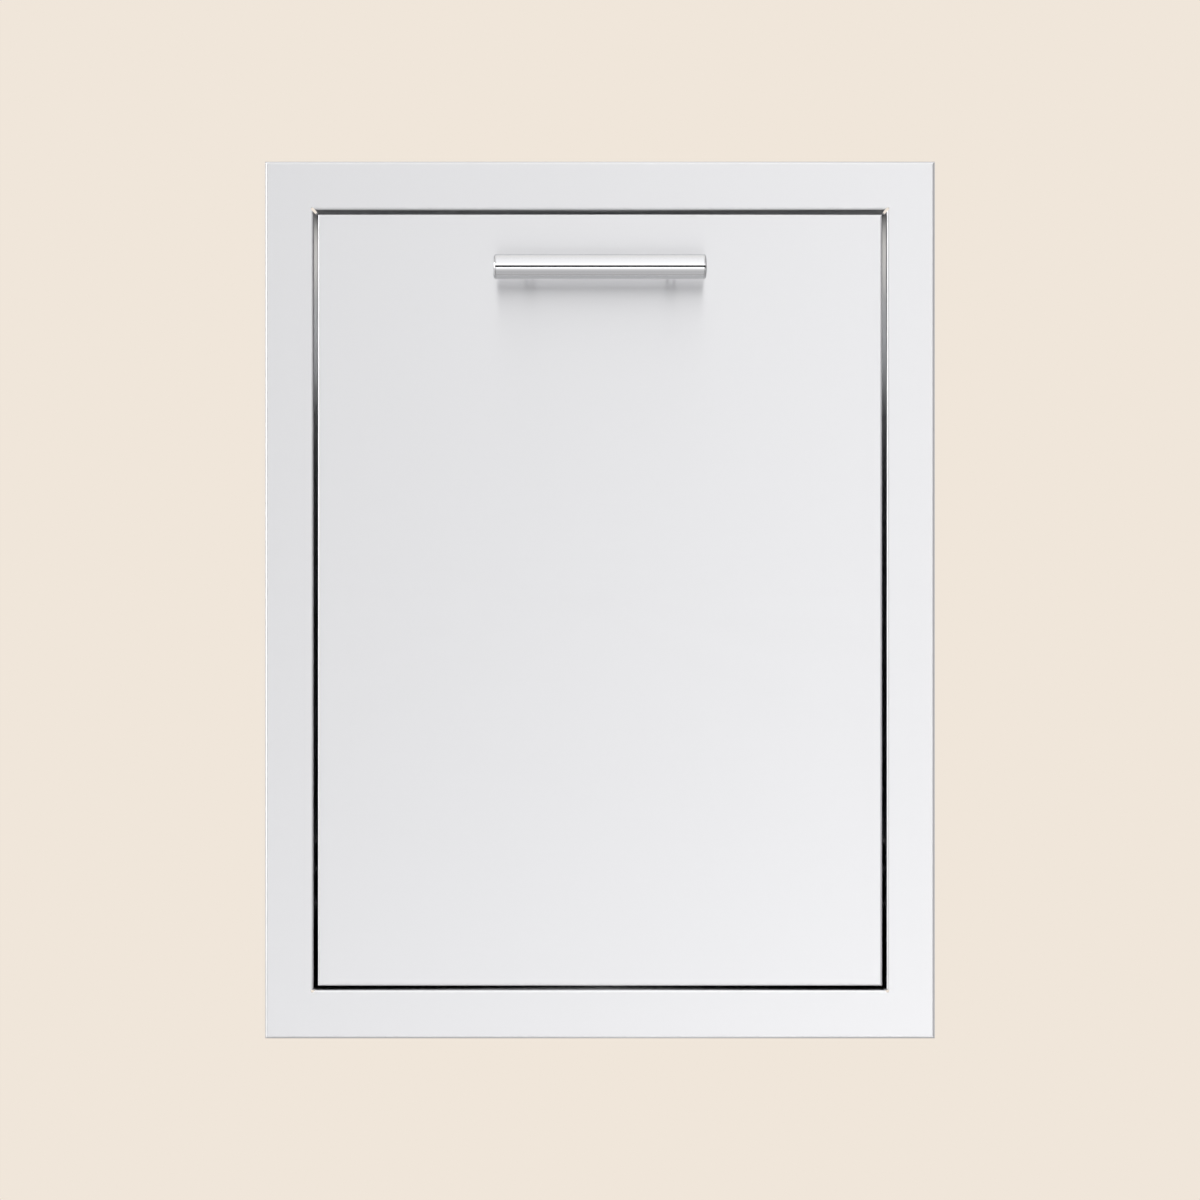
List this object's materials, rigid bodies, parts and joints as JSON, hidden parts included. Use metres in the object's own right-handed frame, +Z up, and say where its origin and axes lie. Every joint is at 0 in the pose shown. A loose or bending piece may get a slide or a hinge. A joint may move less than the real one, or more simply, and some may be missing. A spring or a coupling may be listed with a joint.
{
  "type": "double trash drawer",
  "caption": "Built-in brushed stainless pull-out drawer with a face frame and bar handle, carrying lift-out waste bins on telescopic ball-bearing slides.",
  "frame": {"origin": "middle of the face frame's opening, on the plane of the island's face where the frame's outer return rests", "axes": "+X to the right seen from the front, +Y into the island, +Z up; the drawer opens along -Y"},
  "size_m": [0.5144, 0.5942, 0.673],
  "materials": {
    "face_stainless": "satin",
    "handle_stainless": "polished",
    "liner_stainless": "satin",
    "cabinet_stainless": "satin",
    "tray_stainless": "satin",
    "slide_zinc": "satin",
    "ball_chrome": "polished",
    "buffer_rubber": "matte",
    "lever_plastic": "satin",
    "fastener_steel": "satin",
    "bin_plastic": "matte"
  },
  "bodies": {
    "cabinet": {"face_frame": "face_stainless", "cabinet_base": "cabinet_stainless", "cabinet_left_side": "cabinet_stainless", "cabinet_right_side": "cabinet_stainless", "cabinet_back": "cabinet_stainless", "runner_screws": "fastener_steel", "runner_bracket_left": "cabinet_stainless", "runner_bracket_right": "cabinet_stainless", "slide_outer_left": "slide_zinc", "slide_outer_right": "slide_zinc", "slide_stop_left": "buffer_rubber", "slide_stop_right": "buffer_rubber"},
    "drawer": {"drawer_front": "face_stainless", "drawer_front_liner": "liner_stainless", "handle_bar": "handle_stainless", "handle_screws": "fastener_steel", "tray_pan": "tray_stainless", "tray_front_wall": "tray_stainless", "tray_rear_wall": "tray_stainless", "bin_divider": "tray_stainless", "front_screws": "fastener_steel", "tray_screws": "fastener_steel", "release_lever_pivots": "fastener_steel", "handle_cap_left": "handle_stainless", "handle_cap_right": "handle_stainless", "handle_post_left": "handle_stainless", "handle_post_right": "handle_stainless", "front_brace_left": "tray_stainless", "front_brace_right": "tray_stainless", "slide_inner_left": "slide_zinc", "slide_inner_right": "slide_zinc"},
    "slide_middle_left": {"slide_middle_left": "slide_zinc"},
    "outer_ball_cage_left": {"outer_ball_cage_left": "slide_zinc", "outer_balls_left": "ball_chrome"},
    "inner_ball_cage_left": {"inner_ball_cage_left": "slide_zinc", "inner_balls_left": "ball_chrome"},
    "release_lever_left": {"release_lever_left": "lever_plastic"},
    "slide_middle_right": {"slide_middle_right": "slide_zinc"},
    "outer_ball_cage_right": {"outer_ball_cage_right": "slide_zinc", "outer_balls_right": "ball_chrome"},
    "inner_ball_cage_right": {"inner_ball_cage_right": "slide_zinc", "inner_balls_right": "ball_chrome"},
    "release_lever_right": {"release_lever_right": "lever_plastic"},
    "front_bin": {"front_bin": "bin_plastic"},
    "rear_bin": {"rear_bin": "bin_plastic"}
  },
  "joints": [
    {"name": "drawer_slide", "type": "slide", "parent": "cabinet", "child": "drawer", "axis": [0, -1, 0], "range_m": [0, 0.533]},
    {"name": "slide_middle_left_slide", "type": "slide", "parent": "cabinet", "child": "slide_middle_left", "axis": [0, -1, 0], "range_m": [0, 0.2665]},
    {"name": "outer_ball_cage_left_slide", "type": "slide", "parent": "cabinet", "child": "outer_ball_cage_left", "axis": [0, -1, 0], "range_m": [0, 0.13325]},
    {"name": "inner_ball_cage_left_slide", "type": "slide", "parent": "cabinet", "child": "inner_ball_cage_left", "axis": [0, -1, 0], "range_m": [0, 0.39975]},
    {"name": "slide_middle_right_slide", "type": "slide", "parent": "cabinet", "child": "slide_middle_right", "axis": [0, -1, 0], "range_m": [0, 0.2665]},
    {"name": "outer_ball_cage_right_slide", "type": "slide", "parent": "cabinet", "child": "outer_ball_cage_right", "axis": [0, -1, 0], "range_m": [0, 0.13325]},
    {"name": "inner_ball_cage_right_slide", "type": "slide", "parent": "cabinet", "child": "inner_ball_cage_right", "axis": [0, -1, 0], "range_m": [0, 0.39975]},
    {"name": "release_lever_left_press", "type": "hinge", "parent": "drawer", "child": "release_lever_left", "pos_m": [-0.2024, 0.227, -0.21205], "axis": [1, 0, 0], "range_deg": [0, 8]},
    {"name": "release_lever_right_press", "type": "hinge", "parent": "drawer", "child": "release_lever_right", "pos_m": [0.2024, 0.227, -0.21205], "axis": [1, 0, 0], "range_deg": [0, 8]},
    {"name": "front_bin_lift", "type": "slide", "parent": "drawer", "child": "front_bin", "axis": [0, 0, 1], "range_m": [0, 0.5]},
    {"name": "rear_bin_lift", "type": "slide", "parent": "drawer", "child": "rear_bin", "axis": [0, 0, 1], "range_m": [0, 0.5]}
  ],
  "couplings": [
    {"joint": "slide_middle_left_slide", "follows": "drawer_slide", "ratio": 0.5},
    {"joint": "outer_ball_cage_left_slide", "follows": "drawer_slide", "ratio": 0.25},
    {"joint": "inner_ball_cage_left_slide", "follows": "drawer_slide", "ratio": 0.75},
    {"joint": "slide_middle_right_slide", "follows": "drawer_slide", "ratio": 0.5},
    {"joint": "outer_ball_cage_right_slide", "follows": "drawer_slide", "ratio": 0.25},
    {"joint": "inner_ball_cage_right_slide", "follows": "drawer_slide", "ratio": 0.75}
  ]
}
